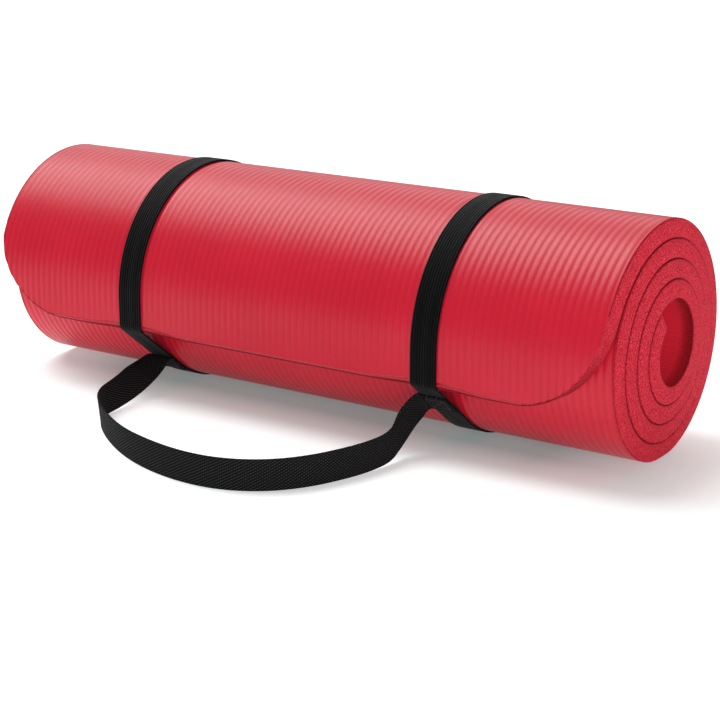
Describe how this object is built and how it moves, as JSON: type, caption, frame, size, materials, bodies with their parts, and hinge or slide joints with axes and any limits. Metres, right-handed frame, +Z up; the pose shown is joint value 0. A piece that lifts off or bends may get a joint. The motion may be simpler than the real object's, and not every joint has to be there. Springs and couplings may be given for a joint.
{
  "type": "rolled exercise mat with carry sling",
  "caption": "Thick ribbed foam exercise mat, rolled up and held by an elastic sling with a webbing carry strap.",
  "frame": {"origin": "on the ground, under the middle of the roll and its elastic loops", "axes": "+X along the roll, +Z up; the flap and the carry strap are on the -Y side"},
  "size_m": [0.6, 0.3493, 0.192],
  "materials": {
    "foam": "matte closed-cell foam with fine ribs",
    "elastic": "woven elastic with fine lengthwise ribs",
    "webbing": "matte woven webbing",
    "thread": "satin sewing thread"
  },
  "bodies": {
    "mat": {"foam_mat": "foam"},
    "sling": {"elastic_loop_left": "elastic", "elastic_loop_right": "elastic", "sewn_end_left": "webbing", "sewn_end_right": "webbing", "box_stitch_left": "thread", "box_stitch_right": "thread"},
    "strap": {"carry_strap": "webbing"}
  },
  "joints": [
    {"name": "sling_slide", "type": "slide", "parent": "mat", "child": "sling", "axis": [1, 0, 0], "range_m": [-0.12, 0.12]},
    {"name": "strap_lift", "type": "hinge", "parent": "sling", "child": "strap", "pos_m": [-0.146, -0.06474, 0.02865], "axis": [-0.998, 0.0502, -0.0396], "range_deg": [0, 32]}
  ]
}
